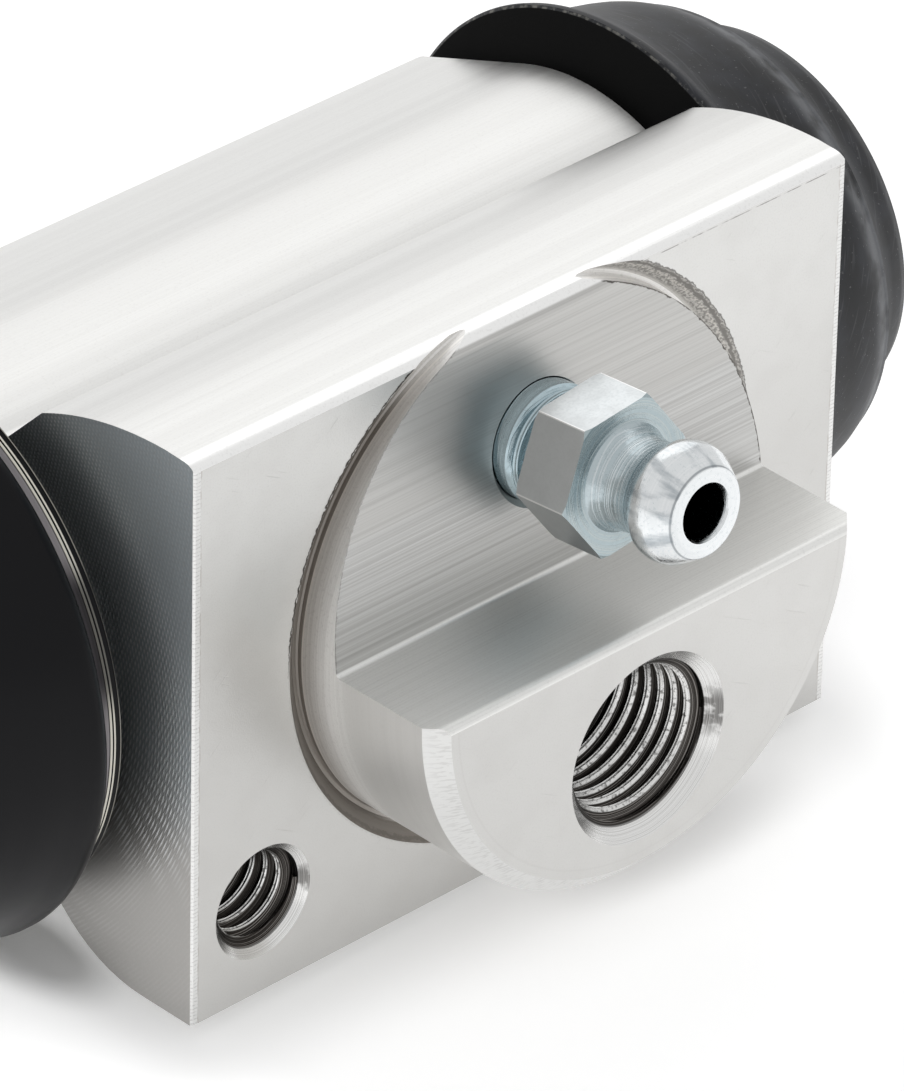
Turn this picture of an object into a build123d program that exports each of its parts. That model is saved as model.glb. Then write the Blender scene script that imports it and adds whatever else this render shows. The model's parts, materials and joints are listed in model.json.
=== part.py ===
from build123d import *
from math import cos, radians, sin, sqrt, tan
import os

os.makedirs("parts", exist_ok=True)

# Drum brake wheel cylinder. All lengths are in millimetres.
# The origin is the spigot's axis on the mounting face. +X runs along the bore,
# -Y points out through the backing plate and +Z is up, towards the bleed screw.

# Extruded and machined body
body_length = 48.4
bore_diameter = 20.64
bore_to_face = 20.5
bore_drop = 2.5
barrel_diameter = 27.8
barrel_facet_angle = 20
barrel_corner_radius = 1.5
crown_height = 18.05
crown_radius = 23
crown_setback = 2.2
crown_front_radius = 1.1
shoulder_setback = 11.9
shoulder_slope = 45
underside_depth = 17.4
underside_radius = 9
underside_setback = 4
web_overlap = 5
pick_tolerance = 0.01
valley_radius = 0.8
face_end_chamfer = 0.35

# Spigot that centres the cylinder in the backing plate
spigot_diameter = 32
spigot_height = 10
spigot_chamfer = 1.1
ledge_above_axis = 0
ledge_proud = 2.3
raw_face_slope = 8
relief_width = 1.25
relief_depth = 0.8

# Turned collars at the body's ends, which hold the dust boots
collar_diameter = 25.2
collar_length = 3.4
collar_groove_diameter = 23.6
collar_groove_start = 0.6
collar_groove_width = 1.6
collar_edge_chamfer = 0.3
bore_mouth_chamfer = 0.6

# Threaded ports. The wall stands at each thread's major radius.
inlet_thread_diameter = 10
inlet_sink_diameter = 11.5
inlet_below_axis = 7.8
inlet_depth = 11.5
inlet_feed_diameter = 3.2
mount_thread_diameter = 6
mount_sink_diameter = 6.9
mount_spacing = 38
mount_below_axis = 14.15
mount_depth = 8
drill_point_angle = 118
drill_overshoot = 0.5

# Bleed screw. Reaches are measured along its axis from the mounting face or from its hexagon.
bleed_thread_diameter = 7
bleed_sink_diameter = 7.4
bleed_above_axis = 7.7
bleed_tilt = 5
bleed_depth = 9.3
bleed_feed_diameter = 2.2
bleed_feed_reach = 18
bleed_clearance = 0.05
bleed_seat_clearance = 0.1
bleed_nose_diameter = 2.6
bleed_relief_diameter = 5.7
bleed_relief_length = 2.4
bleed_exposed = 2.7
bleed_undercut_diameter = 6.3
bleed_undercut_width = 0.45
hex_across_flats = 8.1
hex_length = 3.72
hex_turn = 5.9
hex_chamfer_radius = 4.45
hex_chamfer_angle = 30
nipple_root_diameter = 6.2
nipple_neck_diameter = 5.3
nipple_neck_reach = 2.2
nipple_ball_diameter = 6.9
nipple_ball_reach = 4
nipple_cone_diameter = 6.6
nipple_cone_reach = 4.9
nipple_tip_diameter = 5.18
nipple_tip_reach = 6.08
bleed_bore_diameter = 3.16
bleed_bore_sink = 0.25
bleed_cross_diameter = 1.5
bleed_cross_reach = 1.35

# Pistons. Reaches are measured outwards from the body's end faces.
piston_clearance = 0.03
piston_inner_reach = -9.2
piston_skirt_reach = 8.2
piston_shoulder_diameter = 18.8
piston_groove_reach = 9.6
piston_groove_width = 1.5
piston_groove_diameter = 16
piston_head_diameter = 17.8
piston_outer_reach = 16.2
piston_edge_chamfer = 0.5
slot_width = 5.2
slot_depth = 4.6

# Piston cups and their spreaders
cup_clearance = 0.05
cup_heel = 0.5
cup_base = 2.4
cup_length = 5.6
cup_lip_root = 1.6
cup_lip_tip = 0.7
spreader_wall = 0.6
spreader_diameter = 15.6
spreader_rim_turn = 0.9
spreader_collar_diameter = 7.2
spreader_collar_length = 2.2

# Return spring
spring_wire = 1.2
spring_inner_diameter = 7.6
spring_turns = 6.5
spring_clearance = 0.15

# Dust boots. Reaches are measured outwards from the body's end faces. The left boot is full
# and the right one has slumped, so their skins pass through different points.
boot_wall = 1.1
boot_fit = 0.1
rim_reach = 1.75
rim_diameter = 33.6
rim_thickness = 1.2
rim_root_diameter = 26.8
rim_edge_width = 0.35
boot_groove_reach = 3.3
boot_groove_diameter = 32.3
flank_slopes = {"left": 2, "right": -0.2}
bulge_reach = 5
bulge_diameters = {"left": 36.8, "right": 31.6}
waist_reaches = {"left": 10.8, "right": 10.3}
waist_diameters = {"left": 28, "right": 28.7}
roll_reaches = {"left": 13, "right": 12.6}
roll_diameters = {"left": 26.2, "right": 25}
end_reaches = {"left": 15.7, "right": 14.6}
end_diameter = 22.4
funnel_clearance = 0.35

half_length = body_length / 2
bore_radius = bore_diameter / 2
barrel_radius = barrel_diameter / 2
spigot_radius = spigot_diameter / 2
relief_radius = spigot_radius + relief_width
collar_end = half_length + collar_length
far = 4 * (body_length + spigot_diameter)
sides = {"left": -1, "right": 1}

# Local x points forwards, out of the mounting face, and local y points up.
section_plane = Plane(origin=(0, bore_to_face, -bore_drop), x_dir=(0, -1, 0), z_dir=(-1, 0, 0))
mount_plane = Plane(origin=(0, 0, 0), x_dir=(1, 0, 0), z_dir=(0, -1, 0))
bleed_lean = radians(bleed_tilt)
bleed_plane = Plane(
    origin=(0, 0, bleed_above_axis),
    x_dir=(1, 0, 0),
    z_dir=(0, -cos(bleed_lean), sin(bleed_lean)),
)
inlet_plane = Plane(
    origin=(0, -spigot_height, -inlet_below_axis),
    x_dir=(1, 0, 0),
    z_dir=(0, -1, 0),
)
# Reach of the raw face above the mounting face, along the bleed screw's axis
bleed_surface = ledge_proud - (bleed_above_axis - ledge_above_axis) * tan(radians(raw_face_slope))


def end_plane(side):
    """Plane through the bore axis: local x is the reach beyond an end face, local y the radius."""
    return Plane(
        origin=(side * half_length, bore_to_face, -bore_drop),
        x_dir=(side, 0, 0),
        z_dir=(0, -side, 0),
    )


def end_axis(side):
    return Axis((side * half_length, bore_to_face, -bore_drop), (side, 0, 0))


def drilled_hole(plane, radius, sink_radius, surface, depth, feed_radius=0, feed_reach=0):
    """Half section of a countersunk hole with a drilled point, which may go on as a feed drilling."""
    mouth = surface + drill_overshoot
    bottom = surface - depth
    point = (radius - feed_radius) / tan(radians(drill_point_angle / 2))
    outline = [
        (0, mouth),
        (sink_radius + drill_overshoot, mouth),
        (radius, surface - (sink_radius - radius)),
        (radius, bottom),
        (feed_radius, bottom - point),
    ]
    if feed_radius > 0:
        outline += [(feed_radius, surface - feed_reach), (0, surface - feed_reach)]
    with BuildSketch(Plane(origin=plane.origin, x_dir=plane.x_dir, z_dir=-plane.y_dir)) as hole:
        with BuildLine():
            Polyline(*outline, close=True)
        make_face()
    return hole.sketch


# Outline of the extrusion, seen from the left end
ledge_level = bore_drop + ledge_above_axis
slope_run = tan(radians(raw_face_slope))
crown_peak = bore_to_face - crown_setback
crown_centre = crown_height - crown_radius
shoulder = bore_to_face - shoulder_setback
shoulder_height = crown_centre + sqrt(crown_radius**2 - (crown_peak - shoulder) ** 2)
shoulder_drop = web_overlap * tan(radians(shoulder_slope))
raw_front = bore_to_face + ledge_proud
crown_front = raw_front - (crown_height - ledge_level) * slope_run
crown_front_height = crown_centre + sqrt(crown_radius**2 - (crown_front - crown_peak) ** 2)
spigot_front = bore_to_face + spigot_height
underside_end = bore_to_face - underside_setback
facet = radians(barrel_facet_angle)
facet_start = (-barrel_radius * sin(facet), barrel_radius * cos(facet))
facet_end = barrel_radius * cos(facet) - barrel_radius * (1 - sin(facet)) * tan(facet)

with BuildSketch(section_plane.offset(-half_length)) as extrusion:
    with BuildLine():
        crown = ThreePointArc(
            (shoulder, shoulder_height),
            (crown_peak, crown_height),
            (crown_front, crown_front_height),
        )
        raw_face = Line(crown @ 1, (raw_front, ledge_level))
        ledge = Line(raw_face @ 1, (spigot_front, ledge_level))
        front = Line(ledge @ 1, (spigot_front, -underside_depth))
        underside = Line(front @ 1, (underside_end, -underside_depth))
        belly = RadiusArc(
            underside @ 1,
            (
                underside_end - underside_radius * sin(radians(shoulder_slope)),
                -underside_depth + underside_radius * (1 - cos(radians(shoulder_slope))),
            ),
            underside_radius,
        )
        lower_web = Line(belly @ 1, (belly @ 1) + Vector(-web_overlap, shoulder_drop))
        inner_close = Line(lower_web @ 1, (shoulder - web_overlap, shoulder_height - shoulder_drop))
        Line(inner_close @ 1, crown @ 0)
    make_face()
    front_corner = extrusion.vertices().sort_by_distance(crown @ 1)[0]
    fillet(front_corner, crown_front_radius)
    Circle(barrel_radius)
    with BuildLine():
        Polyline(
            (0, 0),
            facet_start,
            (-barrel_radius, facet_end),
            (-barrel_radius, -facet_end),
            (facet_start[0], -facet_start[1]),
            close=True,
        )
    make_face()
    back_corners = extrusion.vertices().group_by(Axis.X)[0]
    fillet(back_corners, barrel_corner_radius)
    on_barrel = extrusion.vertices().filter_by(
        lambda corner: abs(sqrt(corner.X**2 + corner.Y**2) - barrel_radius) < pick_tolerance
    )
    fillet(on_barrel.filter_by(lambda corner: corner.X > 0), valley_radius)

with BuildPart() as cylinder_body:
    extrude(extrusion.sketch, amount=body_length)

    # Face the mounting side down to the flange, leaving the spigot
    with BuildSketch(mount_plane):
        Rectangle(far, far)
        Circle(spigot_radius, mode=Mode.SUBTRACT)
    extrude(amount=far, mode=Mode.SUBTRACT)
    with BuildSketch(mount_plane):
        Circle(relief_radius)
        Circle(spigot_radius, mode=Mode.SUBTRACT)
    extrude(amount=-relief_depth, mode=Mode.SUBTRACT)
    nose_edge = cylinder_body.edges().filter_by(GeomType.CIRCLE).group_by(Axis.Y)[0]
    chamfer(nose_edge, spigot_chamfer)
    face_ends = (
        cylinder_body.edges()
        .filter_by(Axis.Z)
        .filter_by_position(Axis.Y, -relief_depth / 2, relief_depth / 2)
    )
    chamfer(face_ends, face_end_chamfer)

    # Turn a grooved collar on each end
    for side in sides.values():
        with BuildSketch(end_plane(side)):
            with BuildLine():
                Polyline(
                    (-collar_groove_width, 0),
                    (-collar_groove_width, collar_diameter / 2),
                    (collar_groove_start, collar_diameter / 2),
                    (collar_groove_start, collar_groove_diameter / 2),
                    (collar_groove_start + collar_groove_width, collar_groove_diameter / 2),
                    (collar_groove_start + collar_groove_width, collar_diameter / 2),
                    (collar_length - collar_edge_chamfer, collar_diameter / 2),
                    (collar_length, collar_diameter / 2 - collar_edge_chamfer),
                    (collar_length, 0),
                    close=True,
                )
            make_face()
        revolve(axis=end_axis(side))

    # Bore, open at both ends
    with BuildSketch(section_plane):
        Circle(bore_radius)
    extrude(amount=collar_end, both=True, mode=Mode.SUBTRACT)
    mouths = cylinder_body.edges().filter_by(GeomType.CIRCLE).group_by(Axis.X)
    for mouth in (mouths[0], mouths[-1]):
        chamfer(mouth.sort_by(SortBy.RADIUS)[0], bore_mouth_chamfer)

    # Brake pipe port, through the spigot into the bore
    revolve(
        drilled_hole(
            inlet_plane,
            inlet_thread_diameter / 2,
            inlet_sink_diameter / 2,
            0,
            inlet_depth,
            inlet_feed_diameter / 2,
            spigot_front,
        ),
        axis=Axis(inlet_plane.origin, inlet_plane.z_dir),
        mode=Mode.SUBTRACT,
    )

    # Blind threaded holes for the two mounting bolts
    for side in sides.values():
        bolt_plane = mount_plane.shift_origin((side * mount_spacing / 2, 0, -mount_below_axis))
        revolve(
            drilled_hole(
                bolt_plane,
                mount_thread_diameter / 2,
                mount_sink_diameter / 2,
                0,
                mount_depth,
            ),
            axis=Axis(bolt_plane.origin, bolt_plane.z_dir),
            mode=Mode.SUBTRACT,
        )

    # Bleed port, with the seat at its bottom and a fine drilling to the bore
    revolve(
        drilled_hole(
            bleed_plane,
            bleed_thread_diameter / 2,
            bleed_sink_diameter / 2,
            bleed_surface,
            bleed_surface + bleed_depth,
            bleed_feed_diameter / 2,
            bleed_surface + bleed_feed_reach,
        ),
        axis=Axis(bleed_plane.origin, bleed_plane.z_dir),
        mode=Mode.SUBTRACT,
    )

cylinder_body.part.label = "cylinder_body"
export_step(cylinder_body.part, "parts/cylinder_body.step")


# The screw's own half section lies in the plane of its axis: local x is the radius.
bleed_section = Plane(
    origin=bleed_plane.origin,
    x_dir=bleed_plane.x_dir,
    z_dir=-bleed_plane.y_dir,
)
bleed_axis = Axis(bleed_plane.origin, bleed_plane.z_dir)
thread_radius = bleed_thread_diameter / 2
shank_radius = thread_radius - bleed_clearance
relief_screw_radius = bleed_relief_diameter / 2
nose_radius = bleed_nose_diameter / 2
seat_run = 1 / tan(radians(drill_point_angle / 2))
nose_end = -bleed_depth - (thread_radius - nose_radius) * seat_run + bleed_seat_clearance
seat_start = -bleed_depth - (thread_radius - relief_screw_radius) * seat_run + bleed_seat_clearance
thread_start = seat_start + bleed_relief_length
hex_start = bleed_surface + bleed_exposed
hex_end = hex_start + hex_length
hex_corner_radius = hex_across_flats / sqrt(3)
hex_chamfer_run = (hex_corner_radius - hex_chamfer_radius) * tan(radians(hex_chamfer_angle))
cross_level = seat_start + bleed_cross_reach
bleed_bore_radius = bleed_bore_diameter / 2
tip_end = hex_end + nipple_tip_reach

with BuildPart() as bleed_screw:
    with BuildSketch(bleed_plane.offset(hex_start)):
        RegularPolygon(hex_corner_radius, 6, rotation=hex_turn)
    extrude(amount=hex_length)
    for level, run in ((hex_start, hex_chamfer_run), (hex_end, -hex_chamfer_run)):
        with BuildSketch(bleed_section):
            with BuildLine():
                Polyline(
                    (hex_chamfer_radius, level),
                    (hex_corner_radius, level + run),
                    (hex_corner_radius + hex_length, level + run),
                    (hex_corner_radius + hex_length, level - run),
                    (hex_chamfer_radius, level - run),
                    close=True,
                )
            make_face()
        revolve(axis=bleed_axis, mode=Mode.SUBTRACT)

    # Shank: seat cone, relief, thread and the undercut beneath the hexagon
    with BuildSketch(bleed_section):
        with BuildLine():
            Polyline(
                (0, nose_end),
                (nose_radius, nose_end),
                (relief_screw_radius, seat_start),
                (relief_screw_radius, thread_start),
                (shank_radius, thread_start + shank_radius - relief_screw_radius),
                (shank_radius, hex_start - bleed_undercut_width),
                (bleed_undercut_diameter / 2, hex_start - bleed_undercut_width),
                (bleed_undercut_diameter / 2, hex_start),
                (0, hex_start),
                close=True,
            )
        make_face()
    revolve(axis=bleed_axis)

    # Nipple: a hollow neck, then the ball and its coned front
    with BuildSketch(bleed_section):
        with BuildLine():
            tip = (nipple_tip_diameter / 2, tip_end)
            cone = (nipple_cone_diameter / 2, hex_end + nipple_cone_reach)
            neck_and_ball = Spline(
                (nipple_root_diameter / 2, hex_end),
                (nipple_neck_diameter / 2, hex_end + nipple_neck_reach),
                (nipple_ball_diameter / 2, hex_end + nipple_ball_reach),
                cone,
                tangents=[(-1, 1), (tip[0] - cone[0], tip[1] - cone[1])],
            )
            Polyline(neck_and_ball @ 1, tip, (0, tip_end), (0, hex_end), neck_and_ball @ 0)
        make_face()
    revolve(axis=bleed_axis)

    # Fluid way: up the middle, from a cross hole above the seat
    with BuildSketch(bleed_section):
        with BuildLine():
            Polyline(
                (0, cross_level),
                (bleed_bore_radius, cross_level),
                (bleed_bore_radius, tip_end - bleed_bore_sink),
                (bleed_bore_radius + bleed_bore_sink, tip_end),
                (0, tip_end),
                close=True,
            )
        make_face()
    revolve(axis=bleed_axis, mode=Mode.SUBTRACT)
    with BuildSketch(Plane(origin=bleed_plane.offset(cross_level).origin, z_dir=(1, 0, 0))):
        Circle(bleed_cross_diameter / 2)
    extrude(amount=thread_radius, both=True, mode=Mode.SUBTRACT)

bleed_screw.part.label = "bleed_screw"
export_step(bleed_screw.part, "parts/bleed_screw.step")


piston_radius = bore_radius - piston_clearance
groove_end = piston_groove_reach + piston_groove_width
head_radius = piston_head_diameter / 2
cup_face = piston_inner_reach - cup_base
cup_radius = bore_radius - cup_clearance
spreader_face = cup_face - spreader_wall
spreader_radius = spreader_diameter / 2
spreader_collar_radius = spreader_collar_diameter / 2
boot_bead_radius = collar_groove_diameter / 2 + boot_fit
boot_bead_start = collar_groove_start + boot_fit
boot_bead_end = collar_groove_start + collar_groove_width - boot_fit
collar_clear_radius = collar_diameter / 2 + boot_fit
boot_lip_radius = piston_groove_diameter / 2 + boot_fit
boot_lip_start = piston_groove_reach + boot_fit
boot_lip_end = groove_end - boot_fit
funnel_radius = head_radius + funnel_clearance
roll_drop = end_diameter / 2 - funnel_radius

for name, side in sides.items():
    section = end_plane(side)
    axis = end_axis(side)

    with BuildPart() as piston:
        with BuildSketch(section):
            with BuildLine():
                Polyline(
                    (piston_inner_reach, 0),
                    (piston_inner_reach, piston_radius - piston_edge_chamfer),
                    (piston_inner_reach + piston_edge_chamfer, piston_radius),
                    (piston_skirt_reach, piston_radius),
                    (
                        piston_skirt_reach + piston_radius - piston_shoulder_diameter / 2,
                        piston_shoulder_diameter / 2,
                    ),
                    (piston_groove_reach, piston_shoulder_diameter / 2),
                    (piston_groove_reach, piston_groove_diameter / 2),
                    (groove_end, piston_groove_diameter / 2),
                    (groove_end, head_radius),
                    (piston_outer_reach - piston_edge_chamfer, head_radius),
                    (piston_outer_reach, head_radius - piston_edge_chamfer),
                    (piston_outer_reach, 0),
                    close=True,
                )
            make_face()
        revolve(axis=axis)
        slot_origin = section.from_local_coords((piston_outer_reach, 0, 0))
        with BuildSketch(Plane(origin=slot_origin, x_dir=(0, 1, 0), z_dir=(side, 0, 0))):
            Rectangle(slot_width, piston_head_diameter)
        extrude(amount=-slot_depth, mode=Mode.SUBTRACT)
    piston.part.label = f"piston_{name}"
    export_step(piston.part, f"parts/piston_{name}.step")

    with BuildPart() as piston_cup:
        with BuildSketch(section):
            with BuildLine():
                Polyline(
                    (piston_inner_reach, 0),
                    (piston_inner_reach, cup_radius - cup_heel),
                    (piston_inner_reach - cup_heel, cup_radius),
                    (piston_inner_reach - cup_length, cup_radius),
                    (piston_inner_reach - cup_length, cup_radius - cup_lip_tip),
                    (cup_face, cup_radius - cup_lip_root),
                    (cup_face, 0),
                    close=True,
                )
            make_face()
        revolve(axis=axis)
    piston_cup.part.label = f"piston_cup_{name}"
    export_step(piston_cup.part, f"parts/piston_cup_{name}.step")

    with BuildPart() as cup_spreader:
        with BuildSketch(section):
            with BuildLine():
                spread = Polyline(
                    (cup_face - spreader_rim_turn, spreader_radius),
                    (cup_face - spreader_wall / 2, spreader_radius - spreader_rim_turn),
                    (cup_face - spreader_wall / 2, spreader_collar_radius - spreader_wall / 2),
                    (spreader_face - spreader_collar_length, spreader_collar_radius - spreader_wall / 2),
                )
                offset(spread, amount=spreader_wall / 2, kind=Kind.INTERSECTION)
            make_face()
        revolve(axis=axis)
    cup_spreader.part.label = f"cup_spreader_{name}"
    export_step(cup_spreader.part, f"parts/cup_spreader_{name}.step")

    bulge_radius = bulge_diameters[name] / 2
    waist = (waist_reaches[name], waist_diameters[name] / 2)
    roll_point = (roll_reaches[name], roll_diameters[name] / 2)
    end_reach = end_reaches[name]
    flank_slope = flank_slopes[name]
    flank_share = boot_wall / sqrt(1 + flank_slope**2)
    inner_flank = (
        boot_groove_reach + flank_slope * flank_share,
        boot_groove_diameter / 2 - flank_share,
    )
    with BuildPart() as dust_boot:
        with BuildSketch(section) as boot_section:
            with BuildLine():
                skin = Spline(
                    (boot_groove_reach, boot_groove_diameter / 2),
                    (bulge_reach, bulge_radius),
                    waist,
                    roll_point,
                    (end_reach, end_diameter / 2),
                    tangents=[(1, flank_slope), (0, -1)],
                )
                roll = RadiusArc(skin @ 1, (end_reach - roll_drop, funnel_radius), roll_drop)
                lip = Polyline(
                    roll @ 1,
                    (boot_lip_end, funnel_radius),
                    (boot_lip_end, boot_lip_radius),
                    (boot_lip_start, boot_lip_radius),
                    (boot_lip_start, funnel_radius + boot_wall),
                    (end_reach - roll_drop, funnel_radius + boot_wall),
                )
                inner_roll = RadiusArc(
                    lip @ 1,
                    (end_reach - boot_wall, end_diameter / 2),
                    boot_wall - roll_drop,
                )
                inner_skin = Spline(
                    inner_roll @ 1,
                    (roll_point[0] - boot_wall / 2, roll_point[1] - boot_wall),
                    (waist[0], waist[1] - boot_wall),
                    (bulge_reach, bulge_radius - boot_wall),
                    inner_flank,
                    tangents=[(0, 1), (-1, -flank_slope)],
                )
                Polyline(
                    inner_skin @ 1,
                    (boot_bead_end, collar_clear_radius),
                    (boot_bead_end, boot_bead_radius),
                    (boot_bead_start, boot_bead_radius),
                    (boot_bead_start, rim_root_diameter / 2),
                    (rim_reach, rim_diameter / 2 - rim_edge_width),
                    (rim_reach, rim_diameter / 2),
                    (rim_reach + rim_thickness, rim_diameter / 2),
                    skin @ 0,
                )
            make_face()
        revolve(axis=axis)
    dust_boot.part.label = f"dust_boot_{name}"
    export_step(dust_boot.part, f"parts/dust_boot_{name}.step")


spring_end = half_length + spreader_face - spring_clearance - spring_wire / 2
spring_radius = (spring_inner_diameter + spring_wire) / 2

with BuildPart() as return_spring:
    with BuildLine() as coil:
        Helix(
            pitch=2 * spring_end / spring_turns,
            height=2 * spring_end,
            radius=spring_radius,
            center=(-spring_end, bore_to_face, -bore_drop),
            direction=(1, 0, 0),
        )
    with BuildSketch(Plane(origin=coil.line @ 0, z_dir=coil.line % 0)):
        Circle(spring_wire / 2)
    sweep(path=coil.line)

return_spring.part.label = "return_spring"
export_step(return_spring.part, "parts/return_spring.step")
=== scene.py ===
# %% [markdown]
# # A drum brake wheel cylinder
#
# The real object is a short aluminium extrusion, cut to length, faced and turned, with a bleed
# screw in its front and a rubber boot on each end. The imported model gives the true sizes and
# places. This file gives each surface the finish that its way of making leaves behind: die lines
# on what was extruded, rings on what was turned, crossed arcs on what was milled.

# %% Load the frame
import json
from math import atan2, cos, pi, radians, sin, sqrt, tan

import bpy
from mathutils import Matrix, Vector

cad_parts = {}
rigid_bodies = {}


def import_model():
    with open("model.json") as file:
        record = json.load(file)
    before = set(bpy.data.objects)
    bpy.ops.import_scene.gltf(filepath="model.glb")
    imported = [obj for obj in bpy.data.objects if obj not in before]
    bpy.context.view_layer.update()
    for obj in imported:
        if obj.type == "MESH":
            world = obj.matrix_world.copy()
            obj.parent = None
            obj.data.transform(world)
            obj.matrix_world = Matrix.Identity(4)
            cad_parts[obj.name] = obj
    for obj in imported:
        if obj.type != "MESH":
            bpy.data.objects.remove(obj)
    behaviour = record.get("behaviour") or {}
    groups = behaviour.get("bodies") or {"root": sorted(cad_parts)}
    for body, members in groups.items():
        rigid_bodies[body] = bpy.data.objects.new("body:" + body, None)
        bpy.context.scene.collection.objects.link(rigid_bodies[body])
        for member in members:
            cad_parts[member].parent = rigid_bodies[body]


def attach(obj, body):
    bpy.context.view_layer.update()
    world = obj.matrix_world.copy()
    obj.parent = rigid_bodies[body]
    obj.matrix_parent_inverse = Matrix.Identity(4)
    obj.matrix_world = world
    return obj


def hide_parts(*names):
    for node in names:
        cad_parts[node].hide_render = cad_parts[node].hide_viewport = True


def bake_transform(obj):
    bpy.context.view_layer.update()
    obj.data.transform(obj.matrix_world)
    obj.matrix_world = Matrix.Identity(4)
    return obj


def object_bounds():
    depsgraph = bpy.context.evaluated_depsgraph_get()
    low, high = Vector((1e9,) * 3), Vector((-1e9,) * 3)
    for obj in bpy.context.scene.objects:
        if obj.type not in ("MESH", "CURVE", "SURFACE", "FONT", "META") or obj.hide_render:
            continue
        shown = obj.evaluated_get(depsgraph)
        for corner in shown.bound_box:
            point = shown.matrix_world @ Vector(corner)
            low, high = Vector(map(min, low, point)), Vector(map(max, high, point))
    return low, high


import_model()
cad_low, cad_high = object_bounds()
mm = 0.001

# %% Main sizes in millimetres
half_length = 24.2
bore_to_face = 20.5
bore_drop = 2.5
boss_height = 10
spigot_radius, spigot_chamfer = 16.0, 1.1
groove_radius, groove_depth = 17.25, 0.8
collar_radius, collar_length = 12.6, 3.4
inlet_radius, bolt_radius = 5, 3
bolt_across, bolt_below = 19, 14.15
bleed_above_axis = 7.7
inlet_below_axis = 7.8
bleed_tilt = radians(5)
sides = {"left": -1, "right": 1}

# %% [markdown]
# ## Camera
#
# The photograph was taken with a long lens from the front left and above, so parallel edges
# hardly converge. A camera's axes are the columns of its matrix: right, up and back. They are
# built from an azimuth, an elevation and a small roll, as a photographer would name them.

# %% Place the camera
photo_height = 1091
azimuth, elevation, roll = radians(-44.40), radians(32.26), radians(1.248)
pixels_per_metre = 18398
camera_distance = 0.56316
view_centre = Vector((0, 1.5, -2.5)) * mm
slide_right, slide_up = -2.744 * mm, 1.9175 * mm

back = Vector((sin(azimuth) * cos(elevation), -cos(azimuth) * cos(elevation), sin(elevation)))
level_right = Vector((cos(azimuth), sin(azimuth), 0))
level_up = back.cross(level_right)
right = level_right * cos(roll) + level_up * sin(roll)
up = level_up * cos(roll) - level_right * sin(roll)
aim = view_centre + right * slide_right + up * slide_up

lens = bpy.data.cameras.new("photo_camera")
lens.sensor_width = 36
lens.lens = pixels_per_metre * camera_distance / photo_height * lens.sensor_width
lens.clip_start, lens.clip_end = 0.01, 10
camera = bpy.data.objects.new("photo_camera", lens)
bpy.context.scene.collection.objects.link(camera)
camera.matrix_world = Matrix.Translation(aim + back * camera_distance) @ Matrix(
    (right, up, back)
).transposed().to_4x4()
bpy.context.scene.camera = camera
print("lens", round(lens.lens, 1), "mm")

# %% [markdown]
# ## Node helpers
#
# Materials are built from nodes. Four small classes keep them short: a value, on which
# arithmetic adds Math nodes, a graph, which adds the other kinds of node, and a paint and a
# group, which are the graphs of a new material and of a new node group.

# %% Values
class Value:
    """A number in a graph. Arithmetic on it adds the nodes that work it out."""

    def __init__(self, graph, socket):
        self.graph = graph
        self.socket = socket

    def maths(self, operation, *others):
        links = {f"i{k}": value for k, value in enumerate((self, *others))}
        made = self.graph.add("ShaderNodeMath", {"operation": operation}, **links)
        return Value(self.graph, made.outputs[0])

    def __add__(self, other):
        return self.maths("ADD", other)

    def __sub__(self, other):
        return self.maths("SUBTRACT", other)

    def __mul__(self, other):
        return self.maths("MULTIPLY", other)

    def __truediv__(self, other):
        return self.maths("DIVIDE", other)

    def __abs__(self):
        return self.maths("ABSOLUTE")

    def wave(self, pitch):
        """A sine wave, from -1 to 1."""
        return (self * (2 * pi / pitch)).maths("SINE")

    def most(self, *others):
        """The largest of several values."""
        largest = self
        for other in others:
            largest = largest.maths("MAXIMUM", other)
        return largest

    def ramp(self, low, high, to_low=0.0, to_high=1.0):
        """Maps the value from one range to another, clamped, with soft ends."""
        made = self.graph.add(
            "ShaderNodeMapRange", {"interpolation_type": "SMOOTHSTEP"},
            Value=self, From_Min=low, From_Max=high, To_Min=to_low, To_Max=to_high,
        )
        return Value(self.graph, made.outputs["Result"])

    def band(self, middle, half_width, softness):
        """1 where the value lies near a middle, and 0 elsewhere."""
        return abs(self - middle).ramp(half_width + softness, half_width)

    def mix(self, first, second):
        """A colour: the first where the value is 0, and the second where it is 1."""
        made = self.graph.add("ShaderNodeMix", {"data_type": "RGBA"}, i0=self, i6=first, i7=second)
        return made.outputs[2]


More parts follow.
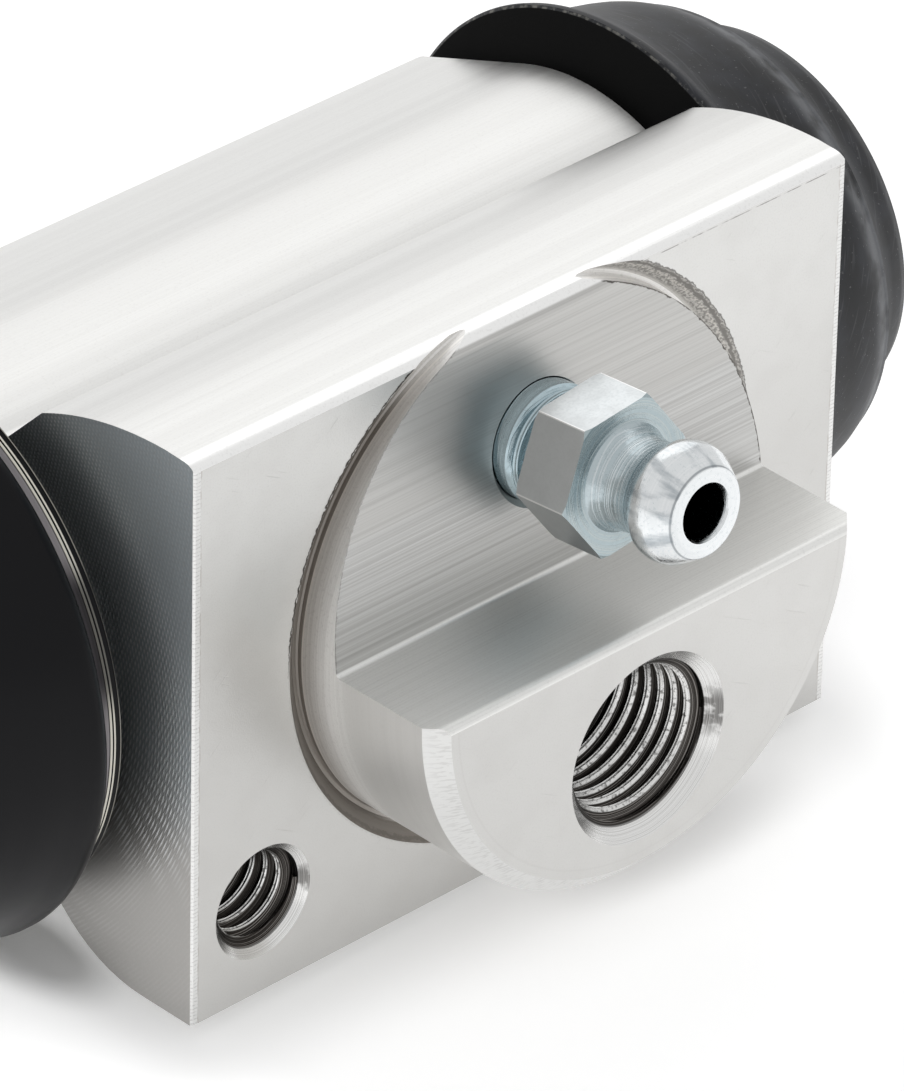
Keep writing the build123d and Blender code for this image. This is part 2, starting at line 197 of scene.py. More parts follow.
# %% Graphs
class Graph:
    """A node tree, with short ways to add to it."""

    def __init__(self, tree):
        self.tree = tree

    def put(self, value, socket):
        """Links a value to a socket, or sets the socket to a number, vector or colour."""
        if isinstance(value, Value):
            value = value.socket
        if isinstance(value, bpy.types.NodeSocket):
            self.tree.links.new(value, socket)
        else:
            socket.default_value = value

    def add(self, kind, settings=None, **links):
        """Adds a node. Each keyword names a socket, with _ for a space, or i and its number."""
        new = self.tree.nodes.new(kind)
        for key, value in (settings or {}).items():
            setattr(new, key, value)
        for key, value in links.items():
            label = int(key[1:]) if key[0] == "i" and key[1:].isdigit() else key.replace("_", " ")
            self.put(value, new.inputs[label])
        return new

    def group(self, name, *labels, **links):
        """Uses a node group, and gives its outputs with these labels."""
        used = self.add("ShaderNodeGroup", {"node_tree": bpy.data.node_groups[name]}, **links)
        values = [Value(self, used.outputs[label]) for label in labels]
        return values if len(values) > 1 else values[0]

    def here(self, *labels):
        """The place on the object in millimetres: X, Y or Z, or all three as Vector."""
        return self.group("object_place", *labels)

    def noise(self, dimensions="3D", **links):
        made = self.add("ShaderNodeTexNoise", {"noise_dimensions": dimensions}, **links)
        return Value(self, made.outputs["Fac"])

    def grain(self, scale, detail=2.0):
        """Fine noise on the object's place, with a number of grains in a millimetre."""
        return self.noise(Vector=self.here("Vector"), Scale=scale, Detail=detail)

    def rings(self, width, waver, axis):
        """Turning lines about an axis, with the distance from it and the place along it."""
        return self.group(
            "turned_rings", "Height", "Radius", "Along", Ring_Width=width, Waver=waver, **axis
        )

    def lines(self, width, length, detail=4.0):
        return self.group(
            "drawn_lines", "Height", Line_Width=width, Line_Length=length, Detail=detail
        )

    def vector(self, operation, output, **links):
        made = self.add("ShaderNodeVectorMath", {"operation": operation}, **links)
        return made.outputs[output]


class Paint(Graph):
    """The graph of a new material, with values for its shader."""

    def __init__(self, name, **values):
        self.material = bpy.data.materials.new(name)
        self.material.use_nodes = True
        super().__init__(self.material.node_tree)
        self.shader = self.tree.nodes["Principled BSDF"]
        self.shine(**values)

    def shine(self, **values):
        for key, value in values.items():
            self.put(value, self.shader.inputs[key.replace("_", " ")])

    def bump(self, height, depth):
        """Turns a height of 0 to 1 into relief of a depth in millimetres."""
        made = self.add("ShaderNodeBump", Height=height, Distance=depth * mm)
        self.shine(Normal=made.outputs["Normal"])


class Group(Graph):
    """A new node group. Its inputs are given with their defaults."""

    def __init__(self, name, **inputs):
        super().__init__(bpy.data.node_groups.new(name, "ShaderNodeTree"))
        for key, value in inputs.items():
            self.socket(key, "INPUT", isinstance(value, tuple)).default_value = value
        self.inlet = self.tree.nodes.new("NodeGroupInput")

    def socket(self, key, in_out, is_vector):
        return self.tree.interface.new_socket(
            key.replace("_", " "), in_out=in_out,
            socket_type="NodeSocketVector" if is_vector else "NodeSocketFloat",
        )

    def taken(self, label):
        return Value(self, self.inlet.outputs[label])

    def give(self, **outputs):
        """Adds the outputs of the group and links them."""
        for key in outputs:
            self.socket(key, "OUTPUT", key == "Vector")
        outlet = self.tree.nodes.new("NodeGroupOutput")
        for key, value in outputs.items():
            self.put(value, outlet.inputs[key])


# %% Places in millimetres
graph = Group("object_place")
coordinates = graph.add("ShaderNodeTexCoord")
scaled = graph.vector("SCALE", 0, i0=coordinates.outputs["Object"], Scale=1 / mm)
split = graph.add("ShaderNodeSeparateXYZ", Vector=scaled)
graph.give(Vector=scaled, **{letter: split.outputs[letter] for letter in "XYZ"})

# %% [markdown]
# ## Floor and light
#
# Bright metal shows its surroundings more than its own colour. The surroundings here are those
# of a white studio table: a pale floor, a pale world, and a broad soft lamp high up at the back,
# which is what the top faces mirror towards the camera. The floor has a painted glow of its own,
# which makes it white everywhere; near the object's foot the glow is lowered, so the soft shadow
# there is partly painted.

# %% Floor
floor_gap = 0.02 * mm
bpy.ops.object.select_all(action="DESELECT")
bpy.ops.mesh.primitive_plane_add(size=3, location=(0, 0, cad_low.z - floor_gap))
floor = bpy.context.object
floor.name = "floor"
paint = Paint(
    "floor_paint", Base_Color=(0.92, 0.92, 0.92, 1), Emission_Color=(1, 1, 1, 1),
    Roughness=0.9, Specular_IOR_Level=0.1,
)


def outside(value, middle, half_width):
    """How far a value lies outside a range, and 0 inside it."""
    return (abs(value - middle) - half_width).most(0.0)


def length(first, second):
    return (first * first + second * second).maths("SQRT")


# %% Painted glow of the floor: it fades outwards, and is lowered at the foot, under the boss and under the left boot as painted shadow
x, y = paint.here("X", "Y")
half_depth, fade_length = 17.2, 28.0
from_foot = length(outside(x, 0.0, half_length), outside(y, half_depth, half_depth))
painted_floor_glow = (from_foot / -fade_length).maths("EXPONENT") * 0.30 + 0.21
# painted shadow: the glow is lowered within a few millimetres of the footprint, and raised as
# painted light beyond the left end
painted_floor_glow = painted_floor_glow * (from_foot.ramp(-1.0, 8.0, 0.42, 1.0) * x.ramp(-21.0, -28.0, 1.0, 1.5))
# painted shadow: the glow is lowered in soft patches under the boss and under the left boot
painted_shadow_under_boss = length((x - 9.0) / 12.0, (y + 3.5) / 4.5)
painted_floor_glow = painted_floor_glow - painted_shadow_under_boss.ramp(1.0, 0.2, 0.0, 0.2)
painted_shadow_under_left_boot = length((x + 25.0) / 3.2, (y - 13.5) / 7.5)
painted_floor_glow = painted_floor_glow - painted_shadow_under_left_boot.ramp(1.2, 0.4, 0.0, 0.34)
# painted light: the glow is raised a little towards the body's right end
painted_floor_glow = (painted_floor_glow + x.ramp(22.0, 27.0, 0.0, 0.09)).most(0.0)
paint.shine(Emission_Strength=painted_floor_glow)
floor.data.materials.append(paint.material)
print("floor at", round(cad_low.z / mm, 2), "mm")

# %% Lamp and world
lamp = bpy.data.lights.new("top_back_softbox", "AREA")
lamp.shape = "SQUARE"
lamp.size = 1.1
lamp.energy = 1.75
lamp_direction = Vector((0.50, 0.62, 0.62))
lamp_distance = 1.2
stand = bpy.data.objects.new("top_back_softbox", lamp)
stand.location = lamp_direction.normalized() * lamp_distance
stand.rotation_euler = (-lamp_direction).to_track_quat("-Z", "Y").to_euler()
bpy.context.scene.collection.objects.link(stand)

world = bpy.data.worlds.new("studio")
bpy.context.scene.world = world
world.use_nodes = True
sky = world.node_tree.nodes["Background"]
sky.inputs["Color"].default_value = (1, 1, 1, 1)
sky.inputs["Strength"].default_value = 0.8
bpy.context.scene.view_settings.view_transform = "Standard"

# %% [markdown]
# ## Frames of the object
#
# Almost everything on this object was turned about one of three axes: the bore, the spigot and
# the bleed screw. Each axis gets a matrix, so that a profile can be drawn about Z and then put
# in its place.

# %% Axes
def axes(origin, z_axis, x_axis):
    """A frame whose Z runs along an axis, with its origin in millimetres."""
    z_axis, x_axis = Vector(z_axis), Vector(x_axis)
    turn = Matrix((x_axis, z_axis.cross(x_axis), z_axis)).transposed().to_4x4()
    return Matrix.Translation(Vector(origin) * mm) @ turn


def on_bore(x):
    """A point on the bore's axis, from its distance to the right in millimetres."""
    return (x * mm, bore_to_face * mm, -bore_drop * mm)


def end_frame(side):
    """Z runs outwards along the bore, from the body's end face."""
    return axes((side * half_length, bore_to_face, -bore_drop), (side, 0, 0), (0, 0, 1))


def front_frame(x, y, z):
    """Z runs forwards out of the front face, from a point in millimetres."""
    return axes((x, y, z), (0, -1, 0), (1, 0, 0))


spigot_frame = front_frame(0, 0, 0)
inlet_place = (0, -boss_height, -inlet_below_axis)
bolt_places = {name: (side * bolt_across, 0, -bolt_below) for name, side in sides.items()}
bleed_direction = (0, -cos(bleed_tilt), sin(bleed_tilt))
bleed_frame = axes((0, 0, bleed_above_axis), bleed_direction, (1, 0, 0))

# %% [markdown]
# ## Ways of working
#
# A turned piece starts as a single vertex, which is extruded along the profile and spun about
# Z. An extruded piece starts the same way, and its closed outline is filled and pushed straight
# on. Cuts are boolean modifiers which are applied at once, and each cutter carries the finish
# that its tool leaves, so the cut face inherits that finish.

# %% Drawing helpers
def pick(piece):
    """Selects one object alone and makes it active."""
    bpy.ops.object.select_all(action="DESELECT")
    piece.select_set(True)
    bpy.context.view_layer.objects.active = piece


def finish_edit(piece):
    """Merges what meets, turns all faces outwards and leaves edit mode."""
    bpy.ops.mesh.select_all(action="SELECT")
    bpy.ops.mesh.remove_doubles(threshold=0.0005 * mm)
    bpy.ops.mesh.normals_make_consistent(inside=False)
    bpy.ops.object.mode_set(mode="OBJECT")
    return piece


def draw(name, points):
    """Starts an object in edit mode as a chain of vertices through points, in millimetres."""
    points = [Vector(point) * mm for point in points]
    bpy.ops.object.select_all(action="DESELECT")
    bpy.ops.mesh.primitive_plane_add(size=1 * mm, location=(0, 0, 0))
    piece = bpy.context.object
    piece.name = name
    piece.data.name = name
    bpy.ops.object.mode_set(mode="EDIT")
    bpy.ops.mesh.select_all(action="SELECT")
    bpy.ops.mesh.merge(type="CENTER")
    bpy.ops.transform.translate(value=points[0])
    for start, end in zip(points, points[1:]):
        bpy.ops.mesh.extrude_region_move(TRANSFORM_OT_translate={"value": end - start})
    return piece


def push(piece, move):
    """Fills a drawn outline and extrudes it by a move in millimetres."""
    bpy.ops.mesh.select_all(action="SELECT")
    bpy.ops.mesh.remove_doubles(threshold=0.001 * mm)
    bpy.ops.mesh.edge_face_add()
    bpy.ops.mesh.extrude_region_move(TRANSFORM_OT_translate={"value": Vector(move) * mm})
    return finish_edit(piece)


def place(piece, matrix):
    """Puts a piece in its frame and applies it, so that its object stays at the origin."""
    pick(piece)
    piece.matrix_world = matrix
    bpy.ops.object.transform_apply(location=True, rotation=True, scale=True)
    return piece


def lathe(name, profile, matrix, *materials, steps=256):
    """Turns a profile of (radius, height) points about the Z axis of a frame."""
    piece = draw(name, [(radius, 0, height) for radius, height in profile])
    bpy.ops.mesh.select_all(action="SELECT")
    bpy.ops.mesh.spin(steps=steps, angle=2 * pi, center=(0, 0, 0), axis=(0, 0, 1))
    finish_edit(piece)
    for material in materials:
        piece.data.materials.append(material)
    return place(piece, matrix)


def closed(profile):
    return profile + [profile[0]]


def arc(centre, radius, start, end, count):
    """Points along an arc. The angles are in degrees."""
    angles = [radians(start + (end - start) * k / count) for k in range(count + 1)]
    return [(centre[0] + radius * cos(a), centre[1] + radius * sin(a)) for a in angles]


def rounded(corners, segments=8):
    """Replaces each (x, y, radius) corner by a tangent arc, or keeps it where the radius is 0."""
    outline = []
    for k, (x, y, radius) in enumerate(corners):
        if radius == 0:
            outline.append((x, y))
            continue
        here = Vector((x, y))
        to_last = (Vector(corners[k - 1][:2]) - here).normalized()
        to_next = (Vector(corners[(k + 1) % len(corners)][:2]) - here).normalized()
        half_angle = to_last.angle(to_next) / 2
        centre = here + (to_last + to_next).normalized() * (radius / sin(half_angle))
        first = here + to_last * (radius / tan(half_angle)) - centre
        swing = first.angle_signed(here + to_next * (radius / tan(half_angle)) - centre)
        for step in range(segments + 1):
            turned = Matrix.Rotation(-swing * step / segments, 2) @ first
            outline.append(tuple(centre + turned))
    return outline


def cut(target, cutter, operation="DIFFERENCE"):
    """Applies a boolean cut and removes the cutter. Cut faces keep the cutter's material."""
    pick(target)
    knife = target.modifiers.new("cut", "BOOLEAN")
    knife.object = cutter
    knife.operation = operation
    knife.solver = "EXACT"
    knife.material_mode = "TRANSFER"
    bpy.ops.object.modifier_apply(modifier=knife.name)
    bpy.data.objects.remove(cutter)
    return target


def smooth(piece, angle=30):
    pick(piece)
    bpy.ops.object.shade_smooth_by_angle(angle=radians(angle))
    return piece


def tell(piece):
    print(f"{piece.name}: {len(piece.data.polygons)} faces")


# %% [markdown]
# ## Node groups for the marks of each tool
#
# All marks are patterns on Object coordinates in millimetres. A drawn surface has lines along
# X. A turned surface has rings, which depend on the distance from the axis and on the place
# along it, so the same pattern works on a flat face, a cone and a cylinder.

# %% Distance from an axis
graph = Group("axis_place", Origin=(0, 0, 0), Direction=(0, 0, 1))
arm = graph.vector("SUBTRACT", 0, i0=graph.here("Vector"), i1=graph.taken("Origin"))
along = graph.vector("DOT_PRODUCT", "Value", i0=arm, i1=graph.taken("Direction"))
across = graph.vector("CROSS_PRODUCT", 0, i0=arm, i1=graph.taken("Direction"))
graph.give(Radius=graph.vector("LENGTH", "Value", i0=across), Along=along)

# %% Lines of drawing and rolling
graph = Group("drawn_lines", Line_Width=0.2, Line_Length=30.0, Detail=4.0)
x, y, z = graph.here("X", "Y", "Z")
width = graph.taken("Line Width")
stretch = graph.add(
    "ShaderNodeCombineXYZ", X=x / graph.taken("Line Length"), Y=y / width, Z=z / width
)
graph.give(Height=graph.noise(
    Vector=stretch.outputs[0], Scale=1.0, Detail=graph.taken("Detail"), Roughness=0.6
))

# %% Sparse scratches on flat metal
graph = Group("scratches", Turn=0.6, Width=0.12, Length=4.0, Share=0.3)
turned = graph.add(
    "ShaderNodeVectorRotate", {"rotation_type": "AXIS_ANGLE"},
    Vector=graph.here("Vector"), Axis=(0, 1, 0), Angle=graph.taken("Turn"),
)
split = graph.add("ShaderNodeSeparateXYZ", Vector=turned.outputs[0])
x, y, z = (Value(graph, split.outputs[letter]) for letter in "XYZ")
scratch_length = graph.taken("Length")
stretch = graph.add(
    "ShaderNodeCombineXYZ", X=x / scratch_length, Y=y / scratch_length, Z=z / graph.taken("Width")
)
level = graph.noise(Vector=stretch.outputs[0], Scale=1.0, Detail=1.0)
level = level / (graph.taken("Share") * -0.5 + 1.0)
graph.give(Mask=level.ramp(0.74, 0.84))

# %% Rings of turning
graph = Group(
    "turned_rings", Origin=(0, 0, 0), Direction=(0, -1, 0), Ring_Width=0.15, Waver=0.1
)
radius, along = graph.group(
    "axis_place", "Radius", "Along",
    Origin=graph.taken("Origin"), Direction=graph.taken("Direction"),
)
drift = graph.noise(Vector=graph.here("Vector"), Scale=0.35, Detail=1.0)
shaken = drift * graph.taken("Waver") + (radius + along)
rings = graph.noise("1D", W=shaken / graph.taken("Ring Width"), Scale=1.0, Detail=3.0)
graph.give(Height=rings, Radius=radius, Along=along)
print("node groups", [group.name for group in bpy.data.node_groups])

# %% [markdown]
# ## Aluminium finishes
#
# The whole body is one alloy, so every finish starts from nearly the same colour. What differs
# is the pattern that scatters the light. Each finish is a material of its own, and the cutter
# that makes a surface brings the finish along.

# %% Metal
alloy = (0.80, 0.80, 0.785, 1)
alloy_skin = (0.55, 0.545, 0.53, 1)
top_alloy = (0.78, 0.78, 0.765, 1)
alloy_dark = (0.50, 0.485, 0.47, 1)
alloy_score = (0.30, 0.29, 0.285, 1)
burr_dark = (0.07, 0.062, 0.055, 1)
faced_alloy = (0.60, 0.595, 0.58, 1)
boss_alloy = (0.64, 0.635, 0.62, 1)
wall_alloy = (0.90, 0.89, 0.87, 1)
spigot_axis = {"Origin": (0, 0, 0), "Direction": (0, -1, 0)}


def metal(name, roughness):
    return Paint(name, Metallic=1.0, Roughness=roughness)


# %% Extruded skin
def extruded_finish():
    """Die lines along the bore. The skin in front of the flange is duller, and scored low down."""
    paint = metal("extruded_aluminium", 0.3)
    x, y, z = paint.here("X", "Y", "Z")
    fine = paint.lines(0.10, 45.0)
    broad = paint.lines(1.3, 160.0, detail=2.0)
    score = paint.lines(0.14, 60.0)
    front = y.ramp(0.0, -0.12)
    ledge = z.ramp(0.25, 0.1) * front
    low = (broad * 1.5 + z).ramp(8.3, 7.3) * front - ledge
    scored = score.ramp(0.40, 0.70) * low

    # painted highlight: the rounding of the crown's front edge is painted near white
    rounding_highlight = y.ramp(1.3, 1.0) * z.ramp(14.1, 14.4)
    top_tone = fine.ramp(0.3, 0.7, 0.16, 0.0).mix(top_alloy, alloy_dark)
    top_tone = broad.ramp(0.35, 0.62, 0.0, 0.22).mix(top_tone, (0.62, 0.615, 0.60, 1))
    top_tone = rounding_highlight.mix(top_tone, (0.97, 0.97, 0.96, 1))
    skin = low.mix(alloy_skin, (0.58, 0.58, 0.57, 1))
    # painted light: the upward-facing ledge is painted lighter than the rest of the front skin
    skin = ledge.mix(skin, (0.88, 0.88, 0.86, 1))
    shade = fine.ramp(0.4, 0.65, 0.0, 0.4) * ledge.ramp(0, 1, 1.0, 0.35) * front
    tone = shade.mix(front.mix(top_tone, skin), (0.40, 0.395, 0.38, 1))
    tone = (scored * 0.34).mix(tone, alloy_score)
    tone = paint.grain(7.0, 3.0).ramp(0.5, 0.75, 0.0, 0.16).mix(tone, alloy_dark)

    radius = paint.group("axis_place", "Radius", **spigot_axis)
    torn = (paint.grain(2.6, 2.0) * 0.3 + radius).band(spigot_radius + 0.14, 0.02, 0.06) * front
    torn = torn * z.ramp(0.1, 0.4) * x.ramp(-8, 2, 0.35, 0.9)
    paint.shine(
        Base_Color=torn.mix(tone, burr_dark),
        Roughness=fine.ramp(0.3, 0.7, 0.28, 0.36) + ledge * 0.06 + front * 0.06,
    )
    paint.bump(broad * 1.6 + fine - scored * 0.5, 0.003)
    return paint.material


# %% Faced metal
def faced_finish():
    """A satin face, with a notched strip at each end and torn burrs at the groove's edge."""
    paint = metal("faced_aluminium", 0.33)
    x, y, z = paint.here("X", "Y", "Z")
    radius = paint.group("axis_place", "Radius", **spigot_axis)
    fleck = paint.grain(9.0, 4.0)
    marks = paint.group("scratches", "Mask", Turn=0.7, Width=0.16, Length=2.5, Share=0.12).most(
        paint.group("scratches", "Mask", Turn=-0.5, Width=0.12, Length=3.0, Share=0.08)
    )
    boss = y.ramp(0.5 - boss_height, 0.1 - boss_height)
    # painted light: the face and the boss are painted lighter towards the top
    tone = z.ramp(-4, 13, 0.0, 0.5).mix(boss.mix(faced_alloy, boss_alloy), alloy)
    tone = fleck.ramp(0.45, 0.8, 0.0, 0.26).mix(tone, alloy_dark)
    tone = paint.grain(0.35, 2.0).ramp(0.4, 0.7, 0.0, 0.12).mix(tone, alloy_dark)
    tone = (marks * 0.10).mix(tone, alloy_score)

    strip_start, notch_pitch = 23.80, 0.24
    wobbly = paint.grain(1.2) * 0.16 + abs(x)
    strip = wobbly.ramp(strip_start, strip_start + 0.06)
    notch = (paint.grain(0.8) * 0.4 + z).wave(notch_pitch).ramp(0.2, 0.9) * fleck.ramp(0.35, 0.6)
    tone = strip.mix(tone, (0.76, 0.76, 0.75, 1))
    tone = (notch * strip * 0.4).mix(tone, alloy_score)
    edge = wobbly.band(strip_start, 0.02, 0.04) * paint.grain(1.5, 3.0).ramp(0.38, 0.6)
    tone = (edge * 0.35).mix(tone, (0.30, 0.24, 0.21, 1))

    torn_radius = paint.grain(2.6, 4.0) * 0.4 + radius
    on_flange = y.ramp(-1.0, -0.5)
    right_side = torn_radius.band(groove_radius + 0.23, 0.02, 0.06)
    right_side = right_side * (z + x).ramp(8, 15, 0.12, 0.75)
    upper_left = torn_radius.band(groove_radius + 0.25, 0.03, 0.05) * x.ramp(-2, -5)
    torn = right_side.most(upper_left * (z - x).ramp(16, 19)) * on_flange
    tone = torn.mix(tone, burr_dark)
    lip = (fleck * 0.06 + z).band(14.97, 0.015, 0.03) * x.ramp(2, 9)
    lip = lip * paint.grain(0.8, 3.0).ramp(0.4, 0.55)
    tone = (lip * on_flange).mix(tone, alloy_score)

    witness = radius.band(14.35, 0.03, 0.06) * boss * 0.15
    paint.shine(Base_Color=witness.mix(tone, alloy_dark))
    paint.bump(fleck - marks - torn * 3.0, 0.008)
    return paint.material


# %% Turned and chamfered metal
def turned_finish():
    """Turning lines on the spigot's wall and in the groove, with painted shade in the groove, a
    painted highlight along its fillet, and dark burrs and scuffs at its edges.
    """
    paint = metal("turned_aluminium", 0.5)
    x, z = paint.here("X", "Z")
    rings, radius, along = paint.rings(0.10, 0.15, spigot_axis)
    broad = paint.rings(0.9, 0.3, spigot_axis)[0]
    fleck = paint.grain(6.0, 3.0)
    tone = rings.ramp(0.35, 0.65, 0.16, 0.0).mix(wall_alloy, alloy_dark)
    tone = broad.ramp(0.45, 0.65, 0.0, 0.2).mix(tone, (0.60, 0.58, 0.56, 1))
    tone = fleck.ramp(0.5, 0.75, 0.0, 0.25).mix(tone, alloy_dark)
    tone = along.ramp(1.2, 4.0, 0.0, 0.8).mix(tone, (0.56, 0.55, 0.53, 1))
    # painted highlight: a bright line along the fillet at the root of the groove's wall
    tone = along.band(-0.36, 0.04, 0.04).mix(tone, (0.97, 0.95, 0.92, 1))
    climb = z + x
    # painted shade in the groove: deepest in its bottom on the left, and fading towards the upper
    # right
    deep_groove_shade = along.ramp(-0.40, -0.46) * x.ramp(-6, -11)
    painted_groove_shade = deep_groove_shade.most(radius.ramp(16.36, 16.44)) * climb.ramp(2, 12, 0.9, 0.25)
    tone = painted_groove_shade.mix(tone, (0.27, 0.245, 0.22, 1))

    shaken = paint.grain(2.6, 4.0) * 0.4 + radius
    torn = shaken.band(17.28, 0.05, 0.07).most(shaken.band(16.7, 0.01, 0.05) * 0.35)
    scuff = fleck.ramp(0.45, 0.6) * climb.ramp(8, 15, 0, 0.5) * radius.ramp(16.4, 16.6)
    torn = (torn * climb.ramp(8, 15, 0.25, 0.6)).most(scuff)
    paint.shine(Base_Color=torn.mix(tone, burr_dark))
    paint.bump(rings, 0.004)
    return paint.material


def chamfered_finish():
    """Short scratches across the chamfer of the spigot's nose."""
    paint = metal("chamfered_aluminium", 0.4)
    x, z = paint.here("X", "Z")
    along = paint.group("axis_place", "Along", **spigot_axis)
    scratch_width, scratch_length = 0.16, 0.5
    spread = paint.add(
        "ShaderNodeCombineXYZ",
        X=z.maths("ARCTAN2", x) * (spigot_radius / scratch_width), Y=along / scratch_length,
    )
    cross = paint.noise("2D", Vector=spread.outputs[0], Scale=1.0, Detail=3.0)
    mark = cross.ramp(0.48, 0.64) * along.ramp(8.9, 9.7, 0.15, 0.4)
    paint.shine(Base_Color=mark.mix((0.70, 0.70, 0.69, 1), (0.48, 0.47, 0.46, 1)))
    paint.bump(cross * -1.0, 0.007)
    return paint.material


# %% Drilled and threaded metal
def drilled_finish():
    """Rings of a drill, and dull metal between them."""
    paint = metal("drilled_aluminium", 0.30)
    rings = paint.rings(0.10, 0.1, spigot_axis)[0]
    paint.bump(rings, 0.006)
    paint.shine(Base_Color=rings.ramp(0.3, 0.7).mix(alloy_dark, alloy_skin))
    return paint.material


def threaded_finish(name, origin, major, sink):
    """A burnished countersink and thread crests with a painted highlight, and painted shade in the
    hole between them.
    """
    paint = metal(name, 0.3)
    axis = {"Origin": origin, "Direction": (0, -1, 0)}
    rings, radius, along = paint.rings(0.09, 0.2, axis)
    sunk = along.ramp(-sink - 0.12, -sink + 0.02)
    # painted highlight on the thread's crests
    crest_highlight = radius.ramp(major - 0.44, major - 0.50)
    crest_highlight = crest_highlight * paint.grain(4.0, 3.0).ramp(0.3, 0.5, 0.3, 1.0)
    x, z = paint.here("X", "Z")
    # the countersink is painted darker on its right side, about the height of the axis
    rightward = (x - origin[0]).ramp(0.5 * major, 0.9 * major)
    darker_right_side = rightward * abs(z - origin[2]).ramp(0.45 * major, 0.1 * major)
    darker_right_side = darker_right_side * paint.grain(1.5, 4.0).ramp(0.36, 0.55, 0.2, 0.75)
    bright = (sunk - darker_right_side).most(crest_highlight)
    silver = rings.ramp(0.38, 0.6, 0.55, 1.0).mix(alloy_dark, (0.84, 0.84, 0.83, 1))
    flank = rings.ramp(0.52, 0.66) * 0.6
    # painted shade in the hole between the crests, with lighter lines on the flanks
    hole_shade = flank.mix((0.035, 0.031, 0.028, 1), (0.40, 0.38, 0.36, 1))
    paint.shine(Base_Color=bright.mix(hole_shade, silver), Roughness=bright.ramp(0, 1, 0.36, 0.26))
    paint.bump(rings, 0.006)
    return paint.material


# %% Milled metal
def milled_finish():
    """Crossed arcs: rings about the bore, broken up by rings about a point above it."""
    paint = metal("milled_aluminium", 0.42)
    z = paint.here("Z")
    bore_centre = (0, bore_to_face, -bore_drop)
    above = (0, bore_to_face + 30, 22 - bore_drop)
    near = paint.group("axis_place", "Radius", Origin=bore_centre, Direction=(1, 0, 0))
    far = paint.group("axis_place", "Radius", Origin=above, Direction=(1, 0, 0))
    dots = near.wave(0.24).ramp(-1, 1) * far.wave(0.26).ramp(-1, 1)
    dots = dots * near.ramp(21.5, 18.5, 0.3, 1.0) * z.ramp(-8, -13, 1, 0.1)
    # painted reflection: the end face is bluish and lighter at the top, and darker and browner
    # below
    plain = z.ramp(-2, -10).mix((0.62, 0.68, 0.71, 1), (0.42, 0.41, 0.395, 1))
    tone = dots.mix(plain, (0.95, 0.97, 0.98, 1))
    tone = paint.grain(6.0, 3.0).ramp(0.45, 0.75, 0.0, 0.25).mix(tone, alloy_dark)
    paint.shine(Base_Color=tone)
    paint.bump(dots, 0.009)
    return paint.material


# %% All the finishes of the body
finishes = {
    "extruded": extruded_finish(),
    "faced": faced_finish(),
    "turned": turned_finish(),
    "chamfered": chamfered_finish(),
    "drilled": drilled_finish(),
    "milled": milled_finish(),
    "inlet": threaded_finish("inlet_aluminium", inlet_place, inlet_radius, 0.75),
}
for name, origin in bolt_places.items():
    material = threaded_finish(f"{name}_bolt_aluminium", origin, bolt_radius, 0.45)
    finishes[f"{name}_bolt"] = material
print("finishes", sorted(finishes))

# %% [markdown]
# ## The body
#
# The extrusion's section is drawn once, seen from its left end: forwards to the right and up.
# Its corners are rounded where the die rounds them. It is then pushed along the bore, and the
# cut ends get the fine bevel that a saw and a deburring wheel leave.

# %% Section of the extrusion
barrel = 13.9
facet_angle = 20
valley_top = (5.475, 12.775)
valley_bottom = (7.24, -11.87)


def angle_of(point):
    return atan2(point[1], point[0]) * 180 / pi


def corners(points, radius=0):
    """Points of the section, each with the radius that rounds it."""
    return [(*point, radius) for point in points]


crown = corners(arc((18.3, -4.95), 23, 114.95, 90, 12))
crown[0] = (*crown[0][:2], 0.5)
front = [(20.615, 17.933, 1.1), (22.8, 2.5, 0.3), (30.5, 2.5, 0.55), (30.5, -17.4, 0)]
belly = corners(arc((16.5, -8.4), 9, -90, -135, 8))
lower_arc = arc((0, 0), barrel, angle_of(valley_bottom), -90 - facet_angle, 20)[1:]
lower_barrel = corners([valley_bottom], 0.6) + corners(lower_arc)
slope = radians(facet_angle)
facet_reach = barrel * cos(slope) - barrel * (1 - sin(slope)) * tan(slope)
back_corners = [(-barrel, -facet_reach, 1.5), (-barrel, facet_reach, 1.5)]
upper_arc = arc((0, 0), barrel, 90 + facet_angle, angle_of(valley_top), 18)[:-1]
upper_barrel = corners(upper_arc) + corners([valley_top], 0.6)
section = rounded(crown + front + belly + lower_barrel + back_corners + upper_barrel)
print("section points", len(section))

# %% Push the section along the bore
body = draw(
    "cylinder_body_dressed",
    [(-half_length, bore_to_face - f, u - bore_drop) for f, u in closed(section)],
)
push(body, (2 * half_length, 0, 0))
body.data.materials.append(finishes["extruded"])
body.data.materials.append(finishes["milled"])

end_bevel = 0.12
for face in body.data.polygons:
    face.select = abs(face.normal.x) > 0.99
    face.material_index = int(face.select)
bpy.ops.object.mode_set(mode="EDIT")
bpy.ops.mesh.select_mode(type="FACE")
bpy.ops.mesh.region_to_loop()
bpy.ops.mesh.bevel(offset=end_bevel * mm, segments=2, affect="EDGES")
bpy.ops.mesh.select_mode(type="VERT")
bpy.ops.object.mode_set(mode="OBJECT")
tell(body)

